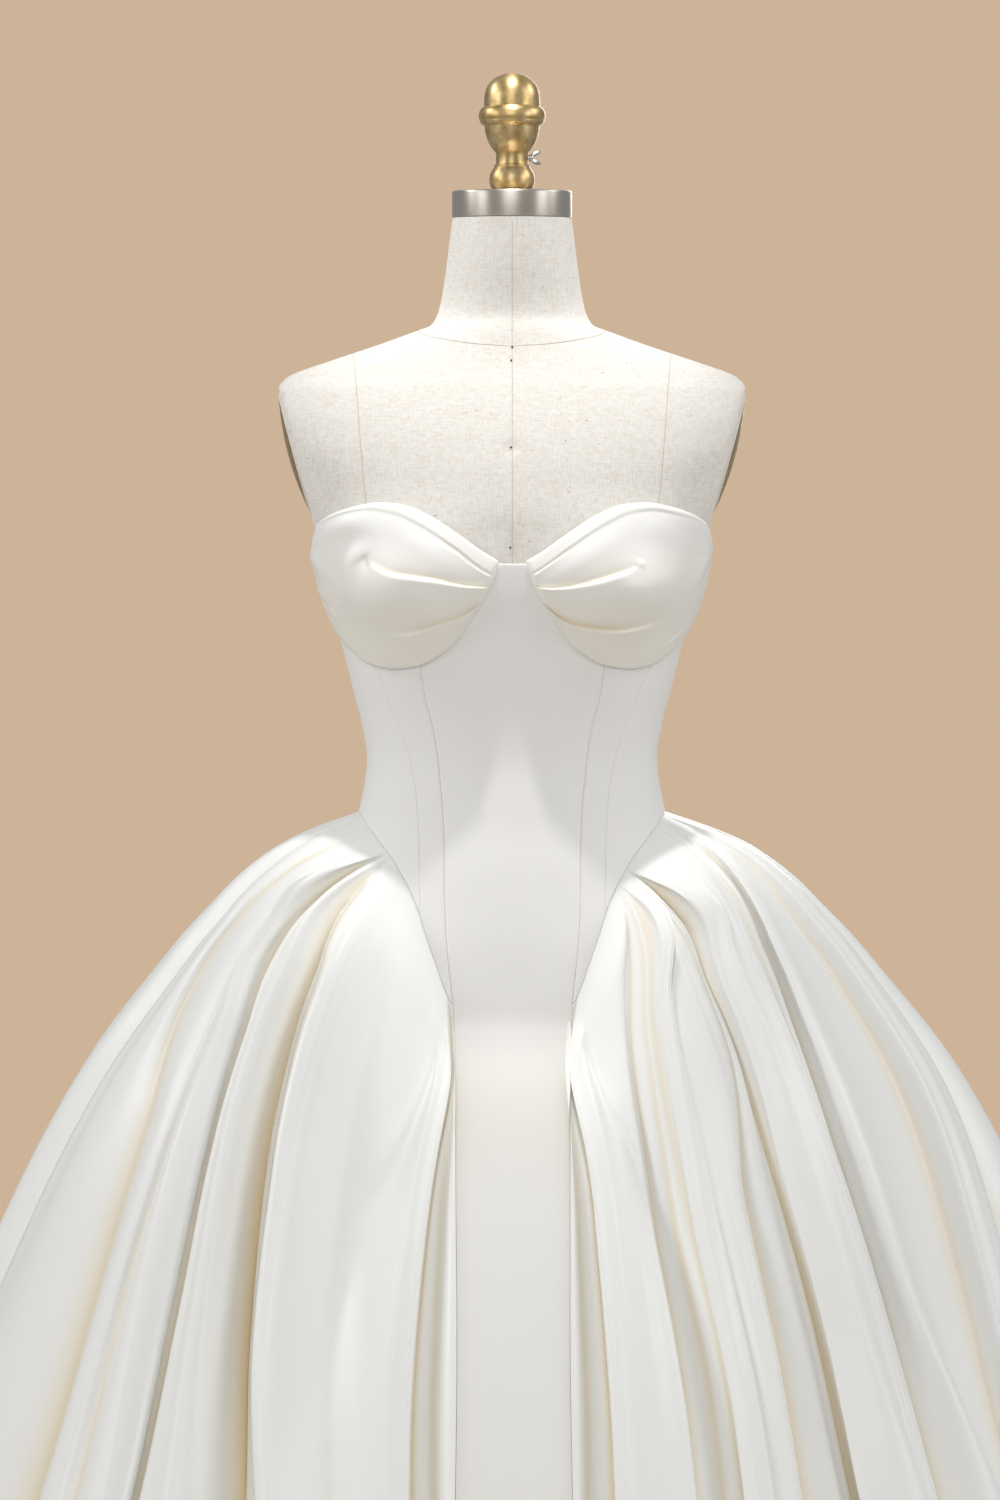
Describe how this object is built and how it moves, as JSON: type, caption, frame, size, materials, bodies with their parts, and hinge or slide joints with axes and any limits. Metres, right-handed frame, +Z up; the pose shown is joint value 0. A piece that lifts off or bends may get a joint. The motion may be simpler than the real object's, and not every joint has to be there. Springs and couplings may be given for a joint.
{
  "type": "ball gown on a dress form",
  "caption": "Strapless satin ball gown with pleated cups, a deep V waist seam and a full pleated skirt to the floor, on a limbless dress form with a finial.",
  "frame": {"origin": "on the floor, at the middle of the underside of the stand's base, below the form's axis", "axes": "+Z up, -Y out of the gown's front, +X towards the right-hand side of the picture, which is the wearer's left"},
  "size_m": [1.3956, 1.3805, 1.6342],
  "materials": {
    "satin_bodice": "heavy ivory-white duchess satin, soft sheen",
    "satin_cups": "the same satin, pleated over moulded cups",
    "satin_skirt": "the same satin, in deep pleats, with a very fine grain",
    "linen": "natural linen, tight plain weave with slubs",
    "antique_brass": "satin, aged",
    "cast_brass": "turned, satin, aged",
    "brushed_steel": "brushed round the neck",
    "nickel_plated_steel": "plated, polished",
    "stand_steel": "drawn tube, satin",
    "painted_cast_iron": "black satin enamel on cast iron",
    "enamelled_zinc": "white enamel on die-cast zinc"
  },
  "bodies": {
    "gown_and_form": {"front_panel": "satin_bodice", "side_front_left": "satin_bodice", "side_front_right": "satin_bodice", "side_left": "satin_bodice", "side_right": "satin_bodice", "back_left": "satin_bodice", "back_right": "satin_bodice", "cup_left": "satin_cups", "cup_right": "satin_cups", "skirt_side_left": "satin_skirt", "skirt_side_right": "satin_skirt", "skirt_back_left": "satin_skirt", "skirt_back_right": "satin_skirt", "zip_slider": "enamelled_zinc", "form_torso": "linen", "arm_plate_left": "antique_brass", "arm_plate_right": "antique_brass", "neck_cap": "brushed_steel", "finial": "cast_brass", "stand_pole": "stand_steel", "stand_base": "painted_cast_iron"},
    "thumbscrew": {"thumbscrew": "nickel_plated_steel"},
    "pull_tab": {"pull_tab": "enamelled_zinc"}
  },
  "joints": [
    {"name": "thumbscrew", "type": "hinge", "parent": "gown_and_form", "child": "thumbscrew", "pos_m": [0.0148, -0.01345, 1.56688], "axis": [1, 0, 0], "continuous": true},
    {"name": "pull_tab", "type": "hinge", "parent": "gown_and_form", "child": "pull_tab", "pos_m": [0, 0.10082, 1.18953], "axis": [1, 0, 0], "range_deg": [0, 150]}
  ]
}
